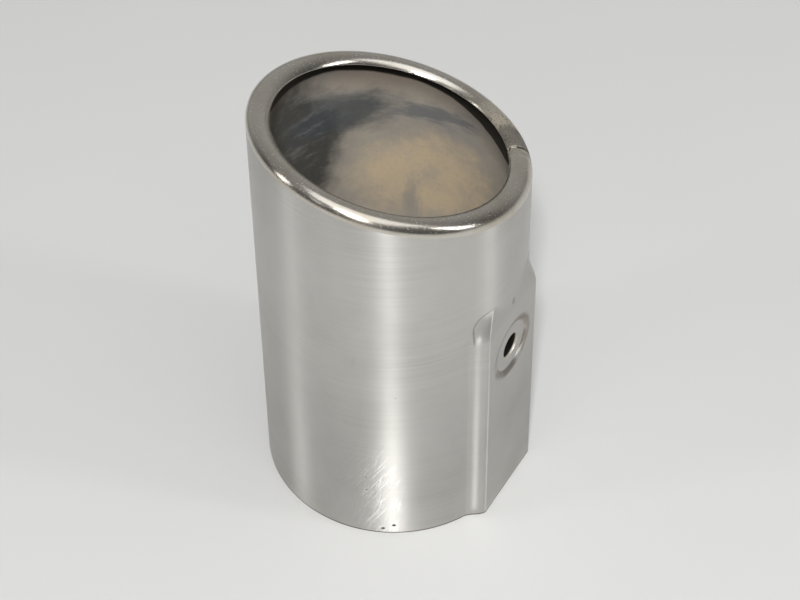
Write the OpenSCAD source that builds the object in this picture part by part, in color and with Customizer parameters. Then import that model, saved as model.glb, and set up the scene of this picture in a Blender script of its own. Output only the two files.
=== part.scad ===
// Single-wall exhaust tip: a round stainless tube with a slanted mouth and an inward rolled lip.
// A flat pad is pressed out of its wall for a fixing screw.
// The axis is Z, the origin is on it in the plane of the inlet end, and the pad faces -Y.
// Lengths are in millimetres and angles in degrees.

/* [Tube] */
// Outside diameter of the tube
tube_d = 88; // [70:0.5:110]
// Thickness of the sheet
sheet_t = 0.8; // [0.6:0.1:1.5]
// Height, on the axis, of the slanted plane where the lip starts to roll
roll_h = 141.2; // [132:0.1:170]

/* [Mouth] */
// Slant of the mouth from square
slant = 17.2; // [0:0.1:19]
// Direction of the short side of the mouth, turned from +X
short_side = -34.3; // [-180:0.1:180]
// Outside diameter of the rolled lip's section
roll_d = 8; // [5:0.1:10]
// How far the lip is rolled round, from the wall to its free edge
roll_turn = 149; // [100:1:165]

/* [Pad] */
// How far the middle of the pad stands proud of the round
pad_proud = 0.5; // [0.3:0.1:2]
// Width of the pad between its two bends, taken at their sharp corners
pad_w = 31.4; // [26:0.1:36]
// Angle of the pad's flanks from its face
flank_angle = 51; // [42:1:60]
// Outside radius of the bends between the face and the flanks
bend_r = 2.2; // [1.8:0.1:4]
// Outside radius of the folds between the flanks and the round
fold_r = 2.6; // [1:0.1:4]
// Height of the pad at its full form
pad_h = 89.5; // [85:0.5:97]
// Height of the shoulder that runs the pad out into the round
shoulder_h = 8.7; // [6:0.1:14]
// Share of its turn round the tube that each bend keeps at the top of the shoulder
bend_keep = 0.72; // [0.5:0.01:0.95]
// Share of its turn round the tube that each fold keeps at the top of the shoulder
fold_keep = 0.86; // [0.6:0.01:1]

/* [Screw seat] */
// Diameter of the screw hole
hole_d = 9; // [6.5:0.1:11]
// Height of the screw hole's centre
hole_h = 71.3; // [40:0.1:72]
// Diameter of the seat's flat floor
seat_d = 18.2; // [14:0.1:20]
// Width of the rounded rim between the floor and the pad's face
seat_rim = 2.9; // [2:0.1:4]
// Depth of the seat
seat_depth = 0.7; // [0.4:0.1:1.5]

/* [Hidden] */

tube_r = tube_d / 2;
bore_r = tube_r - sheet_t;
roll_r = roll_d / 2;
pad_face = tube_r + pad_proud;
// The plain tube ends level, this far under the lowest place of the lip
lip_gap = 2;
plain_h = floor(roll_h - tan(slant) * tube_r) - lip_gap;
bend_steps = 8;
fold_steps = 6;
rim_steps = 8;
// The shoulder ends this far under the round, so that its last edge cuts the round cleanly
sink = 0.06;
// Cutting pieces run this far past what they cut
past = 5;
round_fn = 180;
roll_fn = 48;
seat_fn = 96;

// Plane geometry
function dirn(angle) = [cos(angle), sin(angle)];
function arc(centre, r, from, to, steps) =
    [for (i = [0 : steps]) centre + r * dirn(from + (to - from) * i / steps)];
function flipped(points) = [for (i = [len(points) - 1 : -1 : 0]) [-points[i].x, points[i].y]];

// The pad's section seen along the axis, with x along its face and y outwards.
// Both arcs turn about fixed centres: skin is 0 for the sheet's outside and -sheet_t for its inside.
flank_dir = 90 + flank_angle;
bend_centre = [bend_r * tan(flank_angle / 2) - pad_w / 2, pad_face - bend_r];
flank_level = dirn(flank_dir) * [-pad_w / 2, pad_face];
fold_level = flank_level + fold_r;
fold_along = sqrt(pow(tube_r + fold_r, 2) - pow(fold_level, 2));
fold_centre = fold_level * dirn(flank_dir) + fold_along * dirn(flank_dir - 90);
fold_dir = atan2(fold_centre.y, fold_centre.x);
function half_section(skin) = concat(
    arc(fold_centre, fold_r - skin, fold_dir + 180, flank_dir + 180, fold_steps),
    arc(bend_centre, bend_r + skin, flank_dir, 90, bend_steps));

// At the top of the shoulder each point of the half section has moved onto the round and
// towards the pad's middle, the bend more than the fold
function run_out(half, skin) = [for (i = [0 : len(half) - 1])
    let (keep = i > fold_steps ? bend_keep : fold_keep, turn = atan2(half[i].y, half[i].x) - 90)
    (tube_r + skin - sink) * dirn(90 + turn * keep)];

// Solid under the pad: a prism up to pad_h, then the shoulder, with its root inside the round
module pad_form(skin, foot) {
    root = [[0, tube_r / 2]];
    half = half_section(skin);
    half_top = run_out(half, skin);
    rim = concat(root, half, flipped(half));
    top = concat(root, half_top, flipped(half_top));
    n = len(rim);
    points = concat(
        [for (p = rim) [p.x, p.y, -foot]],
        [for (p = rim) [p.x, p.y, pad_h]],
        [for (p = top) [p.x, p.y, pad_h + shoulder_h]]);
    floor_face = [[for (i = [0 : n - 1]) (n - i) % n]];
    top_face = [[for (i = [0 : n - 1]) 2 * n + i]];
    prism = [for (i = [0 : n - 1]) let (j = (i + 1) % n) [i, j, n + j, n + i]];
    // Each step of the shoulder is two triangles, alike on both sides of the pad
    shoulder = [for (i = [0 : n - 1]) let (a = n + i, b = n + (i + 1) % n) each (i < n / 2
        ? [[a, b, n + a], [b, n + b, n + a]]
        : [[a, b, n + b], [a, n + b, n + a]])];
    polyhedron(points, concat(floor_face, prism, shoulder, top_face));
}

// Turns a piece that faces +Y towards the pad's side of the tube
module on_pad_side() {
    rotate([0, 0, 180]) children();
}

// Tilts a level piece onto the slanted plane where the lip starts to roll. Each of its points
// slides straight up or down, so that a ring stays flush with the tube.
module slanted() {
    fall = tan(slant) * dirn(short_side);
    translate([0, 0, roll_h])
        multmatrix([[1, 0, 0, 0], [0, 1, 0, 0], [-fall.x, -fall.y, 1, 0], [0, 0, 0, 1]])
            children();
}

// Section of the rolled lip about its own centre, from the wall round to the free edge
module roll_section() {
    reach = 2 * roll_d;
    difference() {
        circle(r = roll_r, $fn = roll_fn);
        circle(r = roll_r - sheet_t, $fn = roll_fn);
        polygon([[0, 0], reach * dirn(roll_turn), [-reach, 0], [-reach, -reach], [reach, -reach], [reach, 0]]);
    }
}

// The slanted end of the tube: the lip, with the wall that it is rolled from, down to the level
// plane where the plain tube ends
module mouth_end() {
    skirt = roll_h - plain_h + tube_r;
    difference() {
        slanted() rotate_extrude($fn = round_fn) {
            translate([tube_r - roll_r, 0]) roll_section();
            translate([bore_r, -skirt]) square([sheet_t, skirt]);
        }
        translate([-tube_d, -tube_d, plain_h - 2 * tube_d]) cube(2 * tube_d);
    }
}

// The plain tube, with the pad pressed out of it
module plain_tube() {
    difference() {
        union() {
            cylinder(h = plain_h, r = tube_r, $fn = round_fn);
            on_pad_side() pad_form(0, 0);
        }
        translate([0, 0, -past]) cylinder(h = plain_h + 2 * past, r = bore_r, $fn = round_fn);
        on_pad_side() pad_form(-sheet_t, past);
    }
}

// Puts a piece that is turned about Z on the screw's axis, with the pad's face at its height 0
module on_screw_axis() {
    translate([0, -pad_face, hole_h]) rotate([90, 0, 0]) children();
}

// The seat's rim is an arc that leaves the face smoothly and meets the floor at a crisp edge
rim_out = seat_d / 2 + seat_rim;
rim_turn = 2 * atan(seat_depth / seat_rim);
rim_r = seat_rim / sin(rim_turn);
function rim_arc(skin) = arc([rim_out, -rim_r], rim_r + skin, 90, 90 + rim_turn, rim_steps);

// What the seat takes out of the outside of the pad
module seat_recess() {
    rotate_extrude($fn = seat_fn)
        polygon(concat([[0, -seat_depth], [0, past], [rim_out, past]], rim_arc(0)));
}

// The sheet of the seat, which stands in from the inside of the pad
module seat_sheet() {
    back = -seat_depth - sheet_t;
    last = rim_arc(-sheet_t)[rim_steps];
    corner = last.x - (last.y - back) / tan(rim_turn);
    rotate_extrude($fn = seat_fn)
        polygon(concat([[0, back], [0, -sheet_t / 2], [rim_out, -sheet_t / 2]],
            rim_arc(-sheet_t), [[corner, back]]));
}

module tip_shell() {
    color("silver") difference() {
        union() {
            plain_tube();
            mouth_end();
            on_screw_axis() seat_sheet();
        }
        on_screw_axis() seat_recess();
        on_screw_axis() translate([0, 0, -pad_w / 2]) cylinder(h = pad_w, r = hole_d / 2, $fn = seat_fn);
    }
}

tip_shell();
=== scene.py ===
# %% [markdown]
# # A stainless exhaust tip
# The object is one piece of thin stainless sheet: a round tube with a slanted mouth, whose edge is
# rolled inwards into a fat smooth lip. From the inlet end up, a flat pad is pressed out of the
# wall, with a shallow round seat and a hole for a fixing screw. The lesson models the outside skin
# of that sheet, gives it its thickness, and then spends its time on the metal: polished outside,
# burnt inside.

import math

import bmesh
import bpy
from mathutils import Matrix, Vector


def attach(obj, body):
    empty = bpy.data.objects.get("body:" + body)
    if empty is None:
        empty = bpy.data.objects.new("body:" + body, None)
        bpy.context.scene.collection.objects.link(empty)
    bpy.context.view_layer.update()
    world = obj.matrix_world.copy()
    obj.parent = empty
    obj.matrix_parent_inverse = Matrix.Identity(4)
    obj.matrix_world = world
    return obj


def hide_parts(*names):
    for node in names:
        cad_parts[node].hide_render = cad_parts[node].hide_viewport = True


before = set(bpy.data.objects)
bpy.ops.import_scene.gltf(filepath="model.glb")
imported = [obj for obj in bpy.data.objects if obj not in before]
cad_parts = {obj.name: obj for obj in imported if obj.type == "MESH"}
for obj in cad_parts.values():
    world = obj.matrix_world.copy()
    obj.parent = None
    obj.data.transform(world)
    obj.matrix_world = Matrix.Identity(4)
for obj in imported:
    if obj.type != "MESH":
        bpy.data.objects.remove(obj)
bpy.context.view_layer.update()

# %% [markdown]
# ## Sizes
# Blender works in metres, and the sheet is less than a millimetre thick, so every size is written
# in millimetres and multiplied by one factor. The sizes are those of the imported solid, so the skin
# that is modelled here lies on it.

# %% Sizes of the tip
MM = 0.001
TUBE_R = 44 * MM
SHEET = 0.8 * MM

ROLL_H = 141.2 * MM
SLANT = math.radians(17.2)
SHORT_SIDE = math.radians(-34.3)
ROLL_R = 4 * MM
ROLL_TURN = math.radians(149)

PAD_FACE = 44.5 * MM
PAD_HALF = 15.7 * MM
FLANK = math.radians(51)
BEND_R = 2.2 * MM
FOLD_R = 2.6 * MM
PAD_H = 89.5 * MM
SHOULDER = 8.7 * MM
BEND_KEEP = 0.72
FOLD_KEEP = 0.86

HOLE_R = 4.5 * MM
HOLE_H = 71.3 * MM
SEAT_R = 9.1 * MM
SEAT_RIM = 2.9 * MM
SEAT_DEPTH = 0.7 * MM

SEAM = math.radians(-51)
QUARTER = math.pi / 2
UP = Vector((0, 0, 1))

# %% [markdown]
# ## The camera
# The camera looks steeply down at the tip, with the pad on its right. A long lens far away gives
# a weak perspective. The camera is turned with a matrix made from where it looks and how far it
# rolls, which is exact and easy to correct.

# %% Place the camera
CAMERA_AT = Vector((-468.85, -281.11, 682.88)) * MM
CAMERA_LOOK = Vector((0.5717, 0.3395, -0.7469)).normalized()
CAMERA_ROLL = math.radians(-0.7152)
SENSOR_WIDTH = 36
FOCAL_LENGTH = 112.5
NEAREST = 10 * MM

bpy.ops.object.select_all(action="DESELECT")
bpy.ops.object.camera_add(location=CAMERA_AT)
camera = bpy.context.object
camera.name = "camera"
camera.data.sensor_width = SENSOR_WIDTH
camera.data.lens = FOCAL_LENGTH
camera.data.clip_start = NEAREST
level_right = CAMERA_LOOK.cross(UP).normalized()
level_up = level_right.cross(CAMERA_LOOK)
right = math.cos(CAMERA_ROLL) * level_right + math.sin(CAMERA_ROLL) * level_up
above = math.cos(CAMERA_ROLL) * level_up - math.sin(CAMERA_ROLL) * level_right
turn = camera.matrix_world.to_3x3()
turn.col[0], turn.col[1], turn.col[2] = right, above, -CAMERA_LOOK
camera.rotation_euler = turn.to_euler()
bpy.context.scene.camera = camera
print("camera", tuple(round(c, 3) for c in camera.location))

# %% [markdown]
# ## The outline of the tube and its pad
# Seen along the axis, the tube is a circle with a flat-faced box pressed out of it: a flat face, a
# tight bend at each end, a straight flank, and a soft fold back into the round. One loop of
# vertices follows that outline. Its columns are placed where the shape turns, and evenly
# everywhere else. A pressed flank is never quite flat: it leaves one bend and enters the next as a
# very shallow S.

# %% Points of the outline, from the middle of the pad
SEAT_BLOCK = 13.2 * MM
BLOCK_STEPS = 16
BEND_STEPS = 10
FLANK_STEPS = 8
FOLD_STEPS = 6
FLANK_WAVE = 0.09 * MM


def on_circle(centre, radius, angle):
    return (centre[0] + radius * math.cos(angle), centre[1] + radius * math.sin(angle))


def arc_points(centre, radius, first, last, steps):
    """Points on an arc, without its first one."""
    angles = [first + (last - first) * i / steps for i in range(1, steps + 1)]
    return [on_circle(centre, radius, a) for a in angles]


normal_turn = QUARTER - FLANK
flank_out = (math.cos(normal_turn), math.sin(normal_turn))
bend_centre = (PAD_HALF - BEND_R * math.tan(FLANK / 2), PAD_FACE - BEND_R)
face_edge = bend_centre[0]
fold_level = flank_out[0] * PAD_HALF + flank_out[1] * PAD_FACE + FOLD_R
fold_along = math.sqrt((TUBE_R + FOLD_R) ** 2 - fold_level**2)
fold_centre = (
    fold_level * flank_out[0] - fold_along * flank_out[1],
    fold_level * flank_out[1] + fold_along * flank_out[0],
)
fold_turn = math.atan2(fold_centre[1], fold_centre[0])

half_block = BLOCK_STEPS // 2
face_half = [(SEAT_BLOCK * i / half_block, PAD_FACE) for i in range(half_block + 1)]
face_half.append((face_edge, PAD_FACE))
bend_half = arc_points(bend_centre, BEND_R, QUARTER, normal_turn, BEND_STEPS)
fold_start = on_circle(fold_centre, FOLD_R, normal_turn + math.pi)
fold_half = arc_points(fold_centre, FOLD_R, normal_turn + math.pi, fold_turn + math.pi, FOLD_STEPS)


def flank_point(t):
    """The point at a share t of the way down the flank, on its shallow wave."""
    wave = FLANK_WAVE * math.sin(2 * math.pi * t)
    ends = zip(bend_half[-1], fold_start, flank_out)
    return tuple(a + (b - a) * t + wave * o for a, b, o in ends)


flank_half = [flank_point(k / FLANK_STEPS) for k in range(1, FLANK_STEPS + 1)]
pad_half = face_half + bend_half + flank_half + fold_half
kept_by_bend = len(face_half) + len(bend_half)
keeps = [BEND_KEEP] * kept_by_bend + [FOLD_KEEP] * (len(pad_half) - kept_by_bend)
print("half the pad has", len(pad_half), "points")

# %% [markdown]
# The columns of the round part are about two degrees apart. Where the sheet's two edges are welded
# together they are closer, because the weld bead is only two millimetres wide.

# %% Columns of the round part
BEAD_COLUMNS = (-1.9, -1.2, -0.85, -0.57, -0.3, 0, 0.3, 0.57, 0.85, 1.2, 1.9)
BEAD_CLEAR = math.radians(2.6)
ROUND_STEPS = 152

pad_edge = QUARTER - fold_turn
seam_turn = SEAM + QUARTER
bead_turns = [seam_turn + math.radians(b) for b in BEAD_COLUMNS]
round_turns = [
    pad_edge + (2 * math.pi - 2 * pad_edge) * i / ROUND_STEPS for i in range(1, ROUND_STEPS)
]
round_turns = sorted([t for t in round_turns if abs(t - seam_turn) > BEAD_CLEAR] + bead_turns)

# %% [markdown]
# Over the height of the shoulder the pad runs out into the round. Each point goes straight to its
# place on the round, and the face stays flat on the way. The start is eased over a few
# millimetres, and the line where the shoulder dives into the round is blended, because pressed
# sheet has no knife edges.

# %% The outline at any height
EASE = 2 * MM
BLEND = 0.12 * MM
BLEND_RATE = 6
face_lean = math.atan2(face_edge, PAD_FACE) * BEND_KEEP


def shoulder_top(along, out, keep):
    """Where a point of the pad's outline lies at the top of the shoulder."""
    if along > face_edge:
        lean = math.atan2(along, out) * keep
        return TUBE_R * math.sin(lean), TUBE_R * math.cos(lean)
    return TUBE_R * math.sin(face_lean) * along / face_edge, TUBE_R * math.cos(face_lean)


def climb_at(z):
    """How far up the shoulder a height is, with an eased start."""
    lift = z - PAD_H
    if lift < -EASE:
        return 0
    if lift < EASE:
        return (lift + EASE) ** 2 / (4 * EASE)
    return lift


def outside_round(x, d, share):
    """Keeps a point from going inside the round, with a soft change where it meets it."""
    r = math.hypot(x, d)
    blend = BLEND * min(share * BLEND_RATE, 1)
    grown = (r + TUBE_R + math.sqrt((r - TUBE_R) ** 2 + blend**2)) / 2
    if share == 1:
        grown = TUBE_R
    return x * grown / r, d * grown / r


def row_at(z):
    """The loop of points at one height, counter-clockwise from the pad's middle."""
    share = min(climb_at(z) / SHOULDER, 1)
    half = []
    for (along, out), keep in zip(pad_half, keeps):
        top_along, top_out = shoulder_top(along, out, keep)
        x, d = along + (top_along - along) * share, out + (top_out - out) * share
        half.append(outside_round(x, d, share) if share > 0 else (x, d))
    right_side = [(x, -d, z) for x, d in half]
    left_side = [(-x, -d, z) for x, d in half[:0:-1]]
    middle = [(TUBE_R * math.sin(t), -TUBE_R * math.cos(t), z) for t in round_turns]
    return right_side + middle + left_side


outline = row_at(0)
print("outline of", len(outline), "points")

# %% [markdown]
# ## The wall
# The wall could be a cylinder cut by a boolean, but booleans leave long thin faces that show as
# creases in polished metal. Extruding one loop upwards, row by row, gives clean strips of quads. A
# circle is the start, its vertices are moved onto the outline, and each new row is set to the
# outline at its own height.


# %% Helpers to work on one ring at a time
def select_only(item):
    bpy.ops.object.select_all(action="DESELECT")
    item.select_set(True)
    bpy.context.view_layer.objects.active = item


def select_where(item, kind, wanted):
    """In edit mode, selects the vertices, edges or faces that wanted() accepts."""
    bm = bmesh.from_edit_mesh(item.data)
    bpy.ops.mesh.select_all(action="DESELECT")
    chosen = [e for e in getattr(bm, kind) if wanted(e)]
    for e in chosen:
        e.select_set(True)
    bm.select_flush_mode()
    bmesh.update_edit_mesh(item.data)
    return len(chosen)


def set_ring(item, points):
    """In edit mode, moves the selected ring onto these points, in order of its vertices."""
    bm = bmesh.from_edit_mesh(item.data)
    ring = [v for v in bm.verts if v.select]
    for v, p in zip(ring, points):
        v.co = p
    bmesh.update_edit_mesh(item.data)
    return len(ring)


def extrude_up(height):
    """In edit mode, extrudes the selected ring straight up."""
    bpy.ops.mesh.extrude_edges_move(TRANSFORM_OT_translate={"value": (0, 0, height)})


# %% Start from a circle on the floor
bpy.ops.object.select_all(action="DESELECT")
bpy.ops.mesh.primitive_circle_add(vertices=len(outline), radius=TUBE_R, location=(0, 0, 0))
tip = bpy.context.object
tip.name = "tip_skin"
bpy.ops.object.mode_set(mode="EDIT")
bpy.context.tool_settings.mesh_select_mode = (True, False, False)
bpy.ops.mesh.select_all(action="SELECT")
set_ring(tip, outline)

# %% Rows of the wall
LOW_ROWS = 14
SHOULDER_ROWS = 14
ROWS_AT_PAD_TOP = (-2.4, -1.2, -0.8, -0.5, -0.2, 0.1, 0.4, 0.8)
ROWS_ABOVE_SHOULDER = (0.4, 1, 2.5, 6, 10, 14, 18, 22, 26)

block_low, block_high = HOLE_H - SEAT_BLOCK, HOLE_H + SEAT_BLOCK
rows = [block_low * i / LOW_ROWS for i in range(1, LOW_ROWS)]
rows += [block_low + (block_high - block_low) * i / BLOCK_STEPS for i in range(BLOCK_STEPS + 1)]
rows += [PAD_H + d * MM for d in ROWS_AT_PAD_TOP]
rows += [PAD_H + SHOULDER * i / SHOULDER_ROWS for i in range(2, SHOULDER_ROWS + 1)]
rows += [PAD_H + SHOULDER + d * MM for d in ROWS_ABOVE_SHOULDER]
for z in rows:
    extrude_up(MM)
    moved = set_ring(tip, row_at(z))
print("rows", len(rows), "of", moved, "points")

# %% [markdown]
# The mouth is slanted, so the wall is drawn up past it and cut with a plane. Bisect does this
# without a window, and it can throw away what lies above the plane.

# %% Cut the wall on the slant
PAST_MOUTH = 80 * MM
ON_PLANE = 1e-6

fall = math.tan(SLANT)
slant_dir = Vector((math.cos(SHORT_SIDE), math.sin(SHORT_SIDE), 0))
slant_normal = (UP + fall * slant_dir).normalized()
extrude_up(PAST_MOUTH)
bpy.ops.mesh.select_all(action="SELECT")
bpy.ops.mesh.bisect(
    plane_co=(0, 0, ROLL_H),
    plane_no=slant_normal,
    clear_outer=True,
    use_fill=False,
    threshold=1e-7,
)


def plane_height(co):
    """How far a point is above the slanted plane, measured straight up."""
    return co.z - ROLL_H + fall * co.dot(slant_dir)


cut = select_where(tip, "verts", lambda v: abs(plane_height(v.co)) < ON_PLANE)
print("cut edge of", cut, "points")

# %% [markdown]
# ## The rolled lip
# The lip is the same sheet, curled inwards and down until its free edge hides just inside the
# mouth. A spin would give a level ring. The ring is slanted, so each step of the curl is an
# extrusion that is lifted and then scaled towards the axis, about the point where the axis meets
# the lifted plane.

# %% Curl the edge in steps
ROLL_STEPS = 28

turns = [ROLL_TURN * i / ROLL_STEPS for i in range(ROLL_STEPS + 1)]
ring_r = [TUBE_R - ROLL_R + ROLL_R * math.cos(t) for t in turns]
ring_lift = [ROLL_R * math.sin(t) for t in turns]
for i in range(1, ROLL_STEPS + 1):
    extrude_up(ring_lift[i] - ring_lift[i - 1])
    k = ring_r[i] / ring_r[i - 1]
    bpy.ops.transform.resize(value=(k, k, k), center_override=(0, 0, ROLL_H + ring_lift[i]))
print("lip ends at radius", round(ring_r[-1] / MM, 2), "mm")

# %% [markdown]
# ## The screw's seat
# The screw seats in a shallow dish pressed into the pad. A square block of faces is taken out of
# the pad, its boundary is pulled into a circle, and rings are extruded from it inwards: first the
# soft rim, then the flat floor, then the hole.

# %% Open the pad and round the opening
PAD_SIDE = -40 * MM
SLACK = 0.1 * MM


def in_block(co, slack=0.0):
    reach = SEAT_BLOCK + slack
    return abs(co.x) < reach and abs(co.z - HOLE_H) < reach and co.y < PAD_SIDE


bpy.context.tool_settings.mesh_select_mode = (False, False, True)
opened = select_where(tip, "faces", lambda f: in_block(f.calc_center_median()))
bpy.ops.mesh.delete(type="FACE")
bpy.context.tool_settings.mesh_select_mode = (False, True, False)
around = select_where(
    tip, "edges", lambda e: e.is_boundary and all(in_block(v.co, SLACK) for v in e.verts)
)
print("block of", opened, "faces, boundary of", around, "edges")


def seat_ring(radius, depth):
    """Extrudes the selected loop and lays it on a circle about the screw's axis."""
    extrude_up(0)
    bm = bmesh.from_edit_mesh(tip.data)
    for v in bm.verts:
        if v.select:
            flat = Vector((v.co.x, 0, v.co.z - HOLE_H)).normalized() * radius
            v.co = (flat.x, depth - PAD_FACE, flat.z + HOLE_H)
    bmesh.update_edit_mesh(tip.data)


# %% Rim, floor and hole
RIM_STEPS = 10
RIM_MARGIN = 0.4 * MM

rim_turn = 2 * math.atan(SEAT_DEPTH / SEAT_RIM)
rim_r = SEAT_RIM / math.sin(rim_turn)
rim_out = SEAT_R + SEAT_RIM
seat_ring(rim_out + RIM_MARGIN, 0)
for i in range(RIM_STEPS + 1):
    a = rim_turn * i / RIM_STEPS
    seat_ring(rim_out - rim_r * math.sin(a), rim_r * (1 - math.cos(a)))
floor_rings = (SEAT_R - 0.15 * MM, SEAT_R - 1 * MM, HOLE_R + 1.2 * MM, HOLE_R + 0.3 * MM, HOLE_R)
for radius in floor_rings:
    seat_ring(radius, SEAT_DEPTH)

# %% [markdown]
# ## Thickness and cut edges
# Until now the tip is a skin with no thickness. Solidify adds the inside of the sheet, and gives
# the inside and the cut edges materials of their own. The skin's faces have to point outwards
# first.

# %% Point the faces outwards
bpy.ops.mesh.select_all(action="SELECT")
bpy.ops.mesh.normals_make_consistent(inside=False)
bm = bmesh.from_edit_mesh(tip.data)
foot = min(bm.faces, key=lambda f: f.calc_center_median().z)
middle = foot.calc_center_median()
if foot.normal.x * middle.x + foot.normal.y * middle.y < 0:
    bpy.ops.mesh.flip_normals()
bpy.ops.object.mode_set(mode="OBJECT")

# %% [markdown]
# Solidify moves each new face on by one slot, so the slots go in pairs: the wall's outside and
# inside, and the lip's outside and inside. Both insides are the same burnt metal.

# %% Give the sheet its thickness
SLOTS = ("polished_outside", "burnt_inside", "polished_lip", "burnt_inside", "cut_edge")
LIP = SLOTS.index("polished_lip")
CUT = SLOTS.index("cut_edge")

for name in SLOTS:
    known = bpy.data.materials.get(name)
    tip.data.materials.append(known or bpy.data.materials.new(name))
select_only(tip)
bpy.ops.object.mode_set(mode="EDIT")
bpy.context.tool_settings.mesh_select_mode = (False, False, True)
rolled = select_where(tip, "faces", lambda f: plane_height(f.calc_center_median()) > 0)
tip.active_material_index = LIP
bpy.ops.object.material_slot_assign()
bpy.ops.object.mode_set(mode="OBJECT")
print("faces of the lip", rolled)
wall = tip.modifiers.new("sheet", "SOLIDIFY")
wall.thickness = SHEET
wall.offset = -1
wall.use_even_offset = True
wall.material_offset = 1
wall.material_offset_rim = CUT
bpy.ops.object.modifier_apply(modifier="sheet")
print("faces with thickness", len(tip.data.polygons))

# %% [markdown]
# A sheared sheet edge is never razor sharp. A tiny bevel on every edge between a cut face and a
# rolled face catches a thin line of light, as the real edges do.

# %% Bevel the cut edges
CUT_BEVEL = 0.13 * MM

bpy.ops.object.mode_set(mode="EDIT")
bpy.context.tool_settings.mesh_select_mode = (False, True, False)


def cut_corner(e):
    kinds = {f.material_index for f in e.link_faces}
    return len(kinds) == 2 and CUT in kinds


corners = select_where(tip, "edges", cut_corner)
bpy.ops.mesh.bevel(offset=CUT_BEVEL, segments=2, profile=0.5, affect="EDGES", material=CUT)
print("bevelled", corners, "edges")

# %% [markdown]
# ## The weld
# The tube is a strip of sheet, rolled up and butt-welded. On the wall the weld is ground flush,
# and only a faint line stays. Across the lip the bead still stands proud. Shrink/Fatten moves the
# columns of vertices along their own normals, on both sides of the sheet.

# %% Raise the bead
BEAD_LIFTS = ((0.0, 0.44), (0.3, 0.36), (-0.3, 0.36), (0.57, 0.15), (-0.57, 0.12))
GROUND_SHARE = 0.08
COLUMN_REACH = 0.1

bpy.context.tool_settings.mesh_select_mode = (True, False, False)


def on_bead(co, degrees, on_lip):
    """Whether a point is in this column of the bead, on the lip or else on the wall."""
    off = math.degrees(math.atan2(co.y, co.x) - SEAM) - degrees
    return abs(off) < COLUMN_REACH and (plane_height(co) > -ON_PLANE) == on_lip


for degrees, lift in BEAD_LIFTS:
    for on_lip, share in ((True, 1), (False, GROUND_SHARE)):
        picked = select_where(tip, "verts", lambda v: on_bead(v.co, degrees, on_lip))
        bpy.ops.transform.shrink_fatten(value=-lift * share * MM)
        print("bead column", degrees, picked, "points")
bpy.ops.object.mode_set(mode="OBJECT")

# %% Smooth the rolled faces and keep the cut ones crisp
SMOOTH_UNDER = math.radians(24)
select_only(tip)
bpy.ops.object.shade_smooth_by_angle(angle=SMOOTH_UNDER)

# %% [markdown]
# ## Finishes
# Stainless steel is nearly colourless, and what makes it look real is what has happened to its
# surface: polishing lines that run round the tube, stray scratches, specks of tar, and burnt soot
# and heat colours inside. Each of these is one shader node group with a few inputs, which is built
# once and then placed in every material that needs it. They are built from small helpers, so that
# a finish reads like a sum.


# %% Helpers to wire nodes
def give(tree, node, socket, value):
    """Links a value's socket, or writes a plain number or colour into the input."""
    if isinstance(value, bpy.types.NodeSocket):
        tree.links.new(value, node.inputs[socket])
    else:
        node.inputs[socket].default_value = (*value, 1) if isinstance(value, tuple) else value


def calc(tree, operation, *values):
    node = tree.nodes.new("ShaderNodeMath")
    node.operation = operation
    for i, value in enumerate(values):
        give(tree, node, i, value)
    return node.outputs[0]


def product(tree, first, *others):
    for other in others:
        first = calc(tree, "MULTIPLY", first, other)
    return first


def most(tree, first, *others):
    """The largest of several values."""
    for other in others:
        first = calc(tree, "MAXIMUM", first, other)
    return first


def raised(tree, base, mask, amount):
    """A value that grows by this amount where the mask is 1."""
    return calc(tree, "MULTIPLY_ADD", mask, amount, base)


def beyond(tree, value, start):
    """How far a value is past its start, and 0 before it."""
    return most(tree, calc(tree, "SUBTRACT", value, start), 0.0)


def reach_of(tree, x, y):
    """The length of a flat vector."""
    squares = calc(tree, "POWER", x, 2.0), calc(tree, "POWER", y, 2.0)
    return calc(tree, "SQRT", calc(tree, "ADD", *squares))


def fade(tree, value, low, high):
    """0 below low and 1 above high, with a soft step between. Low may be the larger one."""
    node = tree.nodes.new("ShaderNodeMapRange")
    node.interpolation_type = "SMOOTHSTEP"
    give(tree, node, "Value", value)
    give(tree, node, "From Min", low)
    give(tree, node, "From Max", high)
    return node.outputs["Result"]


def tint(tree, mask, under, over):
    """A colour that goes from under to over by a mask."""
    node = tree.nodes.new("ShaderNodeMix")
    node.data_type = "RGBA"
    give(tree, node, 0, mask)
    give(tree, node, 6, under)
    give(tree, node, 7, over)
    return node.outputs[2]


def coats(tree, colour, *layers):
    """Lays coats over a colour. Each is its mask, how well it covers, and its own colour."""
    for mask, cover, over in layers:
        colour = tint(tree, product(tree, mask, cover), colour, over)
    return colour


def vector(tree, x, y, z=0.0):
    node = tree.nodes.new("ShaderNodeCombineXYZ")
    for i, value in enumerate((x, y, z)):
        give(tree, node, i, value)
    return node.outputs[0]


def parts_of(tree, place):
    """The X, Y and Z of a vector."""
    node = tree.nodes.new("ShaderNodeSeparateXYZ")
    tree.links.new(place, node.inputs[0])
    return node.outputs


def measure(tree, operation, place, other=(0, 0, 0)):
    """One number from a vector, such as its length or its distance from a point."""
    node = tree.nodes.new("ShaderNodeVectorMath")
    node.operation = operation
    tree.links.new(place, node.inputs[0])
    node.inputs[1].default_value = other
    return node.outputs["Value"]


def clouds(tree, place, scale, detail=3.0, rough=0.55):
    """Soft noise from 0 to 1."""
    node = tree.nodes.new("ShaderNodeTexNoise")
    give(tree, node, "Vector", place)
    give(tree, node, "Scale", scale)
    give(tree, node, "Detail", detail)
    give(tree, node, "Roughness", rough)
    return node.outputs["Fac"]


# %% [markdown]
# The sheet is easiest to think of unrolled: how far round it a point is, and how high, both in
# millimetres. Every group works out that place from Object coordinates, so nothing slides when
# the object is looked at from elsewhere.

# %% The place on the unrolled sheet
ROUND_MM = TUBE_R / MM


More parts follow.
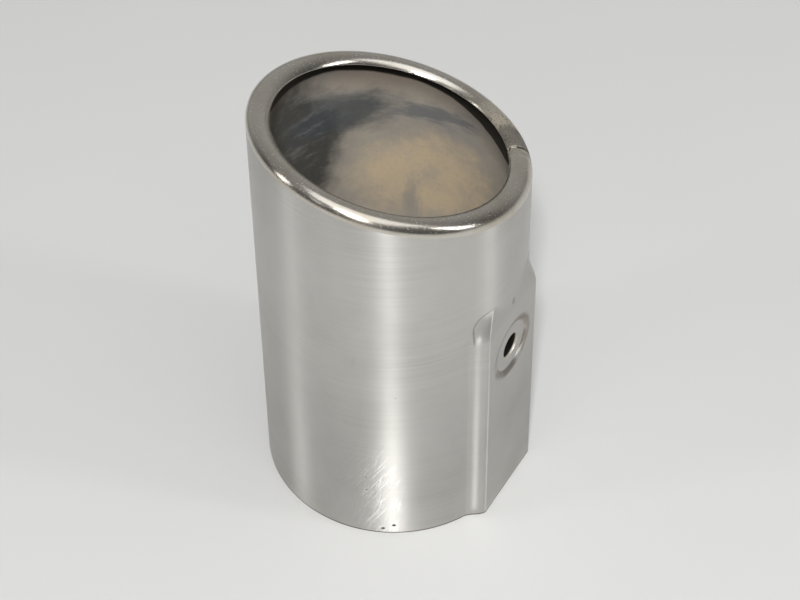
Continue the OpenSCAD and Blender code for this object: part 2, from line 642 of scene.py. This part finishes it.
def spot_of(tree):
    """The position on the object, in metres."""
    return tree.nodes.new("ShaderNodeTexCoord").outputs["Object"]


def unrolled(tree, spot):
    """Way round the tube and height, in millimetres."""
    parts = parts_of(tree, spot)
    angle = calc(tree, "ARCTAN2", parts["Y"], parts["X"])
    return calc(tree, "MULTIPLY", angle, ROUND_MM), calc(tree, "DIVIDE", parts["Z"], MM)


def new_group(name, inputs, output):
    """An empty group with named number inputs and one number output."""
    group = bpy.data.node_groups.new(name, "ShaderNodeTree")
    for label, value in inputs.items():
        socket = group.interface.new_socket(label, in_out="INPUT", socket_type="NodeSocketFloat")
        socket.default_value = value
    group.interface.new_socket(output, in_out="OUTPUT", socket_type="NodeSocketFloat")
    return group, group.nodes.new("NodeGroupInput").outputs, group.nodes.new("NodeGroupOutput")


def use(tree, group, **values):
    """Places a group in a material and returns its output."""
    node = tree.nodes.new("ShaderNodeGroup")
    node.node_tree = group
    for label, value in values.items():
        give(tree, node, label.replace("_", " "), value)
    return node.outputs[0]


# %% Polishing lines: noise that is drawn out along the way round
polish, given, result = new_group("polishing_lines", {"Per mm": 6.0, "Draw": 0.02}, "Lines")
spot = spot_of(polish)
way, height = unrolled(polish, spot)
wavy = raised(polish, height, clouds(polish, spot, scale=18, detail=1), 2.0)
fine = vector(
    polish, product(polish, way, given["Draw"]), product(polish, wavy, given["Per mm"])
)
drawn_out = clouds(polish, fine, scale=1, detail=4, rough=0.75)
give(polish, result, 0, fade(polish, drawn_out, 0.25, 0.75))

# %% Scratches: the same, much longer and thinner, at any slant, and only the tops of the noise
CREST = 0.04
scratch, given, result = new_group(
    "scratches", {"Slant": 0.0, "Per mm": 1.5, "Length": 12.0, "Rarity": 0.7, "Seed": 0.0}, "Mask"
)
way, height = unrolled(scratch, spot_of(scratch))
cosine = calc(scratch, "COSINE", given["Slant"])
sine = calc(scratch, "SINE", given["Slant"])
along = raised(scratch, product(scratch, height, sine), way, cosine)
across = calc(
    scratch, "SUBTRACT", product(scratch, height, cosine), product(scratch, way, sine)
)
drawn = vector(
    scratch,
    calc(scratch, "DIVIDE", along, given["Length"]),
    product(scratch, across, given["Per mm"]),
    given["Seed"],
)
tops = clouds(scratch, drawn, scale=1, detail=1, rough=0.4)
sharp_top = calc(scratch, "ADD", given["Rarity"], CREST)
give(scratch, result, 0, fade(scratch, tops, given["Rarity"], sharp_top))

# %% Blotches: one soft ragged spot at a place on the unrolled sheet
PLACE = {"Way": 0.0, "Height": 0.0, "Wide": 10.0, "Tall": 10.0}
EDGE = {"Ragged": 0.5, "Soft": 0.6, "Seed": 0.0}
blotch, given, result = new_group("blotch", PLACE | EDGE, "Mask")
way, height = unrolled(blotch, spot_of(blotch))
dx = calc(blotch, "DIVIDE", calc(blotch, "SUBTRACT", way, given["Way"]), given["Wide"])
dy = calc(blotch, "DIVIDE", calc(blotch, "SUBTRACT", height, given["Height"]), given["Tall"])
frayed = clouds(blotch, vector(blotch, dx, dy, given["Seed"]), scale=1.7, detail=9, rough=0.66)
torn = raised(
    blotch, reach_of(blotch, dx, dy), calc(blotch, "SUBTRACT", frayed, 0.5), given["Ragged"]
)
give(blotch, result, 0, fade(blotch, torn, 1.0, calc(blotch, "SUBTRACT", 1.0, given["Soft"])))

# %% Specks: small round dots where the noise's cells say so
specks, given, result = new_group(
    "specks", {"Per metre": 300.0, "Size": 0.1, "Rarity": 0.9}, "Mask"
)
cells = specks.nodes.new("ShaderNodeTexVoronoi")
give(specks, cells, "Vector", spot_of(specks))
give(specks, cells, "Scale", given["Per metre"])
chance = specks.nodes.new("ShaderNodeSeparateColor")
specks.links.new(cells.outputs["Color"], chance.inputs[0])
size = product(specks, chance.outputs["Green"], given["Size"])
dot = fade(specks, cells.outputs["Distance"], size, product(specks, size, 0.5))
picked = calc(specks, "GREATER_THAN", chance.outputs["Red"], given["Rarity"])
give(specks, result, 0, product(specks, dot, picked))
print("groups", [g.name for g in bpy.data.node_groups])


# %% [markdown]
# ## The polished outside
# The outside was polished while it turned, so its fine lines run round it. Such a surface draws
# every lamp out into a streak along the axis, which an anisotropic gloss gives. The tangent runs
# round the axis, and a quarter turn lays the streak along it.


# %% A metal to start from
def metal(name, turned=0.0, metallic=1.0):
    """A metallic material without a finish: its tree and its shader."""
    material = bpy.data.materials[name]
    material.use_nodes = True
    tree = material.node_tree
    shader = tree.nodes["Principled BSDF"]
    shader.inputs["Metallic"].default_value = metallic
    if turned:
        shader.inputs["Anisotropic"].default_value = turned
        shader.inputs["Anisotropic Rotation"].default_value = 0.25
        tangent = tree.nodes.new("ShaderNodeTangent")
        tangent.direction_type = "RADIAL"
        tangent.axis = "Z"
        tree.links.new(tangent.outputs[0], shader.inputs["Tangent"])
    return tree, shader


def relief(tree, shader, height, depth):
    """Feeds a bump of that depth, in metres, to the shader."""
    bump = tree.nodes.new("ShaderNodeBump")
    bump.inputs["Distance"].default_value = depth
    give(tree, bump, "Height", height)
    tree.links.new(bump.outputs[0], shader.inputs["Normal"])


# %% Colours of the wall
STEEL = (0.66, 0.645, 0.615)
STEEL_DULL = (0.5, 0.485, 0.455)
STEEL_RUBBED = (0.8, 0.78, 0.74)
TAR = (0.05, 0.04, 0.03)
# Painted shade for the seat's rim.
SEAT_RIM_SHADE = (0.17, 0.13, 0.09)
# Painted shade for the crease round the shoulder, also the colour of one small real stain.
CREASE_SHADE_AND_STAIN = (0.2, 0.16, 0.11)
# Painted contact shadow along the foot.
FOOT_CONTACT_SHADOW = (0.09, 0.08, 0.06)

# %% The wall: lines, wear, scratches and specks
NICKS = ((-115.3, 4.3), (-119.0, 2.5))

tree, shader = metal("polished_outside", turned=1.0)
spot = spot_of(tree)
way, height = unrolled(tree, spot)
lines = use(tree, polish, Per_mm=1.6, Draw=0.02)
bold_lines = use(tree, polish, Per_mm=0.7, Draw=0.015)
drawn_in = product(tree, bold_lines, fade(tree, clouds(tree, spot, scale=22), 0.35, 0.7))
smudge = fade(tree, clouds(tree, spot, scale=38, detail=4), 0.42, 0.75)
wavering = raised(tree, height, clouds(tree, spot, scale=20, detail=0), 30.0)
worn = fade(tree, wavering, 125.0, 30.0)
slanting = use(tree, scratch, Slant=1.05, Per_mm=2.2, Length=12.0, Rarity=0.6, Seed=3.0)
steep = use(tree, scratch, Slant=1.4, Per_mm=2.6, Length=11.0, Rarity=0.63, Seed=7.0)
rubbed = use(tree, blotch, Way=-124.0, Height=17.0, Wide=17.0, Tall=38.0, Ragged=0.6, Soft=0.7)
patch = product(tree, most(tree, slanting, product(tree, steep, 0.7)), rubbed)
stray = use(tree, scratch, Slant=1.3, Per_mm=0.9, Length=14.0, Rarity=0.78, Seed=9.0)
stray_2 = use(tree, scratch, Slant=-0.35, Per_mm=1.1, Length=11.0, Rarity=0.77, Seed=5.0)
marks = most(tree, patch, stray, stray_2)
dots = use(tree, specks, Per_metre=240.0, Size=0.12, Rarity=0.955)
for at, up in NICKS:
    nick = use(tree, blotch, Way=at, Height=up, Wide=0.9, Tall=0.7, Ragged=1.0, Soft=0.5)
    dots = most(tree, dots, nick)

# %% Painted shade in the seat's rim: a ring about the screw's axis
apart = measure(tree, "DISTANCE", spot, (0, -PAD_FACE, HOLE_H))
from_screw = calc(tree, "DIVIDE", apart, MM)
ring = product(
    tree,
    fade(tree, from_screw, 8.6, 9.5),
    fade(tree, from_screw, 12.6, 10.6),
    fade(tree, clouds(tree, spot, scale=120, detail=4, rough=0.6), 0.3, 0.6),
)

# %% Painted shade in the crease round the shoulder: a rounded rectangle's outline on the unrolled sheet
CREASE_HALF, CREASE_TOP, CREASE_CORNER = 18.9, 98.7, 4.4

beside = calc(tree, "ABSOLUTE", calc(tree, "ADD", way, QUARTER * ROUND_MM))
corner = reach_of(
    tree,
    beyond(tree, beside, CREASE_HALF - CREASE_CORNER),
    beyond(tree, height, CREASE_TOP - CREASE_CORNER),
)
off_line = calc(tree, "ABSOLUTE", calc(tree, "SUBTRACT", corner, CREASE_CORNER))
crease_shade = product(
    tree,
    fade(tree, off_line, 0.45, 0.1),
    fade(tree, height, 86.0, 91.0),
    fade(tree, beside, 7.0, 14.0),
)
stain = use(tree, blotch, Way=-68.4, Height=92.5, Wide=1.4, Tall=1.8, Ragged=1.4, Soft=0.8)

# %% [markdown]
# The colour is laid on in coats, the steel first. The hairlines of the polish are in the colour
# and the bump, and not in the roughness, where they would break up the long streaks of light.

# %% Colour, gloss and relief of the wall
colour = coats(
    tree,
    STEEL,
    (smudge, 0.3, STEEL_DULL),
    (drawn_in, 0.55, STEEL_DULL),
    # Painted shade in the seat's rim.
    (ring, 0.7, SEAT_RIM_SHADE),
    (stain, 0.5, CREASE_SHADE_AND_STAIN),
    # Painted shade in the crease round the shoulder.
    (crease_shade, 0.55, CREASE_SHADE_AND_STAIN),
    (patch, 0.6, STEEL_RUBBED),
    (dots, 1.0, TAR),
    # Painted contact shadow along the foot's edge.
    (fade(tree, height, 0.75, 0.3), 1.0, FOOT_CONTACT_SHADOW),
)
gloss = raised(tree, raised(tree, 0.28, worn, 0.105), marks, 0.2)
rub = product(tree, clouds(tree, spot, 1400, detail=2, rough=0.6), most(tree, rubbed, 0.1))
surface = raised(tree, product(tree, lines, 0.5), marks, -1.0)
surface = raised(tree, surface, rub, 1.2)
give(tree, shader, "Base Color", colour)
give(tree, shader, "Roughness", gloss)
give(tree, shader, "Metallic", raised(tree, 1.0, dots, -0.8))
relief(tree, shader, surface, 0.01 * MM)

# %% [markdown]
# ## The lip
# The lip is the same steel, but it was polished to a mirror, and the hot gas has passed over it.
# Near the weld it is dull and mottled with soot, and fine dust lies on all of it. The weld itself
# is a pale ridge, and the dark line on its near side is a painted shadow of the ridge.

# %% Colours of the lip
LIP_STEEL = (0.63, 0.6, 0.545)
LIP_STRAW = (0.5, 0.44, 0.35)
LIP_DULL = (0.42, 0.37, 0.28)
LIP_SOOT = (0.15, 0.14, 0.12)
LIP_DUST = (0.75, 0.72, 0.65)
# Painted shadow beside the weld bead.
BEAD_SHADOW = (0.12, 0.1, 0.08)
BEAD_METAL = (0.72, 0.69, 0.62)

# %% The lip
tree, shader = metal("polished_lip", turned=0.6)
spot = spot_of(tree)
way, height = unrolled(tree, spot)
lines = use(tree, polish, Per_mm=5.0, Draw=0.04)
smudge = fade(tree, clouds(tree, spot, scale=45, detail=5, rough=0.6), 0.4, 0.7)
dull = use(tree, blotch, Way=-30.0, Height=133.0, Wide=22.0, Tall=18.0, Ragged=1.9, Soft=0.9)
soot = use(
    tree, blotch, Way=-34.0, Height=131.5, Wide=9.0, Tall=14.0, Ragged=2.2, Soft=0.6, Seed=3.0
)
dust = use(tree, specks, Per_metre=2400.0, Size=0.45, Rarity=0.7)
pits = product(tree, use(tree, specks, Per_metre=2100.0, Size=0.75, Rarity=0.5), dull)
few = use(tree, specks, Per_metre=300.0, Size=0.14, Rarity=0.92)
chip = use(tree, blotch, Way=14.6, Height=136.2, Wide=0.9, Tall=0.9, Ragged=0.9, Soft=0.4)
dark_spots = most(tree, few, chip, pits)
from_seam = calc(tree, "SUBTRACT", way, SEAM * ROUND_MM)
bead = fade(tree, calc(tree, "ABSOLUTE", from_seam), 0.5, 0.35)
# Painted shadow of the weld bead, a thin line on its near side.
bead_shadow_line = fade(tree, calc(tree, "ABSOLUTE", calc(tree, "ADD", from_seam, 0.75)), 0.35, 0.12)
colour = coats(
    tree,
    LIP_STEEL,
    (smudge, 0.6, LIP_STRAW),
    (dull, 0.8, LIP_DULL),
    (soot, 0.9, LIP_SOOT),
    (dust, 0.35, LIP_DUST),
    (dark_spots, 1.0, TAR),
    (bead_shadow_line, 0.85, BEAD_SHADOW),
    (bead, 1.0, BEAD_METAL),
)
film = most(
    tree,
    product(tree, dull, 0.75),
    soot,
    product(tree, dust, 0.5),
    bead_shadow_line,
    product(tree, bead, 0.4),
)
gloss = raised(tree, raised(tree, raised(tree, 0.16, lines, 0.06), smudge, 0.05), film, 0.3)
give(tree, shader, "Base Color", colour)
give(tree, shader, "Roughness", gloss)
give(tree, shader, "Metallic", raised(tree, 1.0, film, -0.7))
relief(tree, shader, raised(tree, lines, dark_spots, -2.0), 0.008 * MM)

# %% [markdown]
# ## The burnt inside
# Hot gas has left a thin film of oxide and soot. It is no mirror any more: it scatters light like
# a dusty paint with some metal behind it. The pattern is large soft clouds, tan where the film is
# thin, blue-grey and nearly black where the soot lies. Just under the lip, a black band and a brown
# haze below it are painted shadow: they stand for the shadow that the lip casts from the key lamp.
# The band follows the slanted mouth, so its height is measured from the slanted plane. It reaches
# further down on both sides of one direction, as that shadow does. The inlet end, which shows
# only through the screw hole, is painted nearly black as well: painted shade deep in the tube.

# %% Painted shadow under the lip and painted shade near the inlet
# These numbers shape the lip's painted shadow: shallowest at one place round the tube, deeper on
# both sides of it.
SHADOW_MIDDLE = 27.0
SHADOW_EVEN = 12.0
SHADOW_SPREAD = 0.0085
SHADOW_DEEPEST = 12.0

tree, shader = metal("burnt_inside", metallic=0.1)
spot = spot_of(tree)
way, height = unrolled(tree, spot)
slanted_height = measure(tree, "DOT_PRODUCT", spot, (fall * slant_dir.x, fall * slant_dir.y, 1))
under_lip = calc(tree, "DIVIDE", calc(tree, "SUBTRACT", slanted_height, ROLL_H), MM)
aside = beyond(tree, calc(tree, "ABSOLUTE", calc(tree, "SUBTRACT", way, SHADOW_MIDDLE)), SHADOW_EVEN)
spread = product(tree, calc(tree, "POWER", aside, 2.0), SHADOW_SPREAD)
deeper = calc(tree, "MINIMUM", spread, SHADOW_DEEPEST)
frayed = clouds(tree, spot, scale=90, detail=4, rough=0.6)
uneven = calc(tree, "ADD", raised(tree, under_lip, frayed, 1.6), deeper)
# The black band of the lip's painted shadow, and the brown painted shade that fades out below it.
lip_shadow = fade(tree, uneven, -5.6, -4.6)
lip_shade = fade(tree, uneven, -16.0, -5.0)
# Painted shade deep in the tube near the inlet, which shows through the screw hole.
patchy = clouds(tree, spot, scale=60, detail=5, rough=0.6)
inlet_shade = fade(tree, raised(tree, height, patchy, 16.0), 62.0, 40.0)

# %% Clouds of oxide and soot, each at its place on the unrolled sheet
CLOUDS = {
    "warm_top": dict(Way=24.0, Height=131.0, Wide=28.0, Tall=11.0, Ragged=0.8, Soft=0.8, Seed=6.0),
    "tan": dict(Way=10.0, Height=85.0, Wide=32.0, Tall=27.0, Ragged=1.4, Soft=0.6, Seed=1.0),
    "soot": dict(Way=66.0, Height=106.0, Wide=34.0, Tall=40.0, Ragged=0.9, Soft=0.4, Seed=7.0),
    "slate": dict(Way=42.0, Height=116.0, Wide=29.0, Tall=13.0, Ragged=1.2, Soft=0.6, Seed=2.0),
    "spots": dict(Way=8.0, Height=114.0, Wide=20.0, Tall=5.0, Ragged=2.4, Soft=0.7, Seed=4.0),
    "smear": dict(Way=17.0, Height=70.0, Wide=4.5, Tall=17.0, Ragged=1.7, Soft=0.9, Seed=0.0),
}
cloud = {name: use(tree, blotch, **values) for name, values in CLOUDS.items()}
mottled = fade(tree, clouds(tree, spot, scale=70, detail=6, rough=0.65), 0.3, 0.62)
tan_film = product(tree, cloud["tan"], raised(tree, 0.5, mottled, 0.5))
grain = clouds(tree, spot, scale=900, detail=4, rough=0.7)
broad = clouds(tree, spot, scale=24, detail=8, rough=0.68)
drawn = vector(tree, product(tree, way, 0.06), product(tree, height, 0.16))
wisps = fade(tree, clouds(tree, drawn, scale=1.0, detail=9, rough=0.72), 0.48, 0.72)
thin = product(tree, wisps, raised(tree, 0.1, cloud["soot"], 0.35))

# %% Colours of the inside
OXIDE = (0.64, 0.57, 0.47)
OXIDE_GREY = (0.42, 0.39, 0.35)
OXIDE_WARM = (0.6, 0.5, 0.41)
OXIDE_TAN = (0.88, 0.7, 0.46)
SOOT = (0.048, 0.052, 0.052)
SLATE = (0.08, 0.095, 0.105)
SLATE_PALE = (0.16, 0.18, 0.2)
SMEAR_GREY = (0.3, 0.31, 0.32)
WISP_GREY = (0.45, 0.45, 0.43)
GRAIN_BROWN = (0.3, 0.26, 0.2)
# Painted shade under the lip.
LIP_SHADE_BROWN = (0.1, 0.09, 0.075)
# Painted shade deep in the tube, near the inlet.
INLET_SHADE_BLACK = (0.035, 0.033, 0.03)
# The black of the lip's painted shadow.
LIP_SHADOW_BLACK = (0.02, 0.018, 0.015)

# %% Colour, gloss and relief of the inside
colour = coats(
    tree,
    OXIDE,
    (fade(tree, broad, 0.3, 0.7), 1.0, OXIDE_GREY),
    (cloud["warm_top"], 0.9, OXIDE_WARM),
    (tan_film, 0.8, OXIDE_TAN),
    (cloud["soot"], 0.92, SOOT),
    (cloud["slate"], 0.85, SLATE),
    (cloud["spots"], 0.7, SLATE_PALE),
    (cloud["smear"], 0.5, SMEAR_GREY),
    (thin, 1.0, WISP_GREY),
    (fade(tree, grain, 0.45, 0.8), 0.2, GRAIN_BROWN),
    # Painted shade under the lip.
    (lip_shade, 0.55, LIP_SHADE_BROWN),
    # Painted shade deep in the tube, near the inlet.
    (inlet_shade, 0.9, INLET_SHADE_BLACK),
    # Painted shadow of the lip, in black.
    (lip_shadow, 1.0, LIP_SHADOW_BLACK),
)
give(tree, shader, "Base Color", colour)
give(tree, shader, "Roughness", raised(tree, 0.45, grain, 0.2))
relief(tree, shader, grain, 0.015 * MM)

# %% [markdown]
# ## The cut edges
# Where the sheet was sheared and punched, the bare grey metal shows, torn fine by the cut. It is a
# little rough, and bright.

# %% The cut edges
SHEARED = (0.82, 0.78, 0.7)
SHEARED_DULL = (0.6, 0.56, 0.5)

tree, shader = metal("cut_edge", metallic=0.6)
torn = clouds(tree, spot_of(tree), scale=1500, rough=0.7)
give(tree, shader, "Base Color", tint(tree, torn, SHEARED, SHEARED_DULL))
give(tree, shader, "Roughness", raised(tree, 0.35, torn, 0.2))
relief(tree, shader, torn, 0.01 * MM)

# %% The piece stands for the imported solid
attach(tip, "root")
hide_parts("tip_shell")

# %% [markdown]
# ## The studio
# Metal shows what stands around it, so the surroundings are half of its look. The floor is plain
# and pale where the tip stands, and fades to grey further out, which gives the lip's underside
# something dark to mirror. It is one big quad, because it only has to be flat.

# %% Floor
FLOOR_SIZE = 8
FLOOR_PALE = (0.66, 0.66, 0.65)
FLOOR_MOTTLE = (0.58, 0.58, 0.57)
FLOOR_FAR = (0.2, 0.2, 0.2)
FAR_FROM, FAR_TO = 0.7, 2.2

bpy.ops.object.select_all(action="DESELECT")
bpy.ops.mesh.primitive_plane_add(size=FLOOR_SIZE, location=(0, 0, 0))
floor = bpy.context.object
floor.name = "floor"
paint = bpy.data.materials.new("pale_floor")
tree, shader = metal("pale_floor", metallic=0.0)
spot = spot_of(tree)
far = fade(tree, measure(tree, "LENGTH", spot), FAR_FROM, FAR_TO)
mottle = product(tree, clouds(tree, spot, scale=9), 0.25)
near_colour = tint(tree, mottle, FLOOR_PALE, FLOOR_MOTTLE)
give(tree, shader, "Base Color", tint(tree, far, near_colour, FLOOR_FAR))
shader.inputs["Roughness"].default_value = 0.55
floor.data.materials.append(paint)

# %% [markdown]
# A wide soft lamp overhead lights the lip, the floor and the inside. A small bright one beside the
# camera gives the key light. Each upright strip draws one vertical streak on the wall. A lamp's
# power is worked out from the brightness of its face, because that is what the metal mirrors.

# %% Lamps
LOOK_AT_H = 0.1
STRIP_AWAY = 1.5


def soft_lamp(name, place, aim, wide, tall, bright):
    """A rectangular area lamp whose face has the given brightness."""
    bpy.ops.object.select_all(action="DESELECT")
    bpy.ops.object.light_add(type="AREA", location=place)
    lamp = bpy.context.object
    lamp.name = name
    lamp.data.shape = "RECTANGLE"
    lamp.data.size, lamp.data.size_y = wide, tall
    lamp.data.energy = bright * math.pi * wide * tall
    lamp.rotation_euler = aim.to_track_quat("-Z", "Y").to_euler()
    print(name, "power", round(lamp.data.energy, 1), "W")


def key_lamp(azimuth, elevation, distance, size, bright):
    """A small square lamp that looks at the tip from a direction."""
    a, e = math.radians(azimuth), math.radians(elevation)
    out = Vector((math.cos(e) * math.cos(a), math.cos(e) * math.sin(a), math.sin(e)))
    soft_lamp("key", LOOK_AT_H * UP + out * distance, -out, size, size, bright)


def strip(name, azimuth, low, high, spread, bright):
    """An upright strip that spans these elevations and this many degrees, seen from the tip."""
    a = math.radians(azimuth)
    out = Vector((math.cos(a), math.sin(a), 0))
    foot, head = (LOOK_AT_H + STRIP_AWAY * math.tan(math.radians(e)) for e in (low, high))
    wide = 2 * STRIP_AWAY * math.tan(math.radians(spread / 2))
    place = out * STRIP_AWAY + UP * (foot + head) / 2
    soft_lamp(name, place, -out, wide, head - foot, bright)


key_lamp(azimuth=-152, elevation=52.5, distance=1.7, size=0.14, bright=330)
soft_lamp("overhead", Vector((0, -0.5, 1.7)), -UP, wide=1.5, tall=1.5, bright=1.1)
strip("front", azimuth=-157, low=22, high=50, spread=12, bright=0.9)
strip("left", azimuth=135, low=10, high=42, spread=10, bright=3.6)
strip("left_front", azimuth=170, low=24, high=48, spread=8, bright=0.8)
strip("right", azimuth=-75, low=14, high=40, spread=7, bright=9.0)

# %% [markdown]
# The room is grey and brighter towards its ceiling. Behind the tip it is pale down to the floor,
# and on the camera's side it is dark, which draws the dark line along the near side of the lip.

# %% The room
ROOM_DARK = (0.09, 0.09, 0.09)
ROOM_PALE = (0.38, 0.38, 0.37)
ROOM_CEILING = (0.3, 0.3, 0.3)
BEHIND = (0.86, 0.51, 0)

world = bpy.data.worlds.new("studio")
bpy.context.scene.world = world
world.use_nodes = True
room = world.node_tree
direction = room.nodes.new("ShaderNodeTexCoord").outputs["Generated"]
ceiling = fade(room, parts_of(room, direction)["Z"], 0.3, 1.0)
pale = fade(room, measure(room, "DOT_PRODUCT", direction, BEHIND), 0.0, 0.9)
horizon = tint(room, pale, ROOM_DARK, ROOM_PALE)
give(room, room.nodes["Background"], "Color", tint(room, ceiling, horizon, ROOM_CEILING))

# %% Set the view transform
bpy.context.scene.view_settings.view_transform = "Standard"
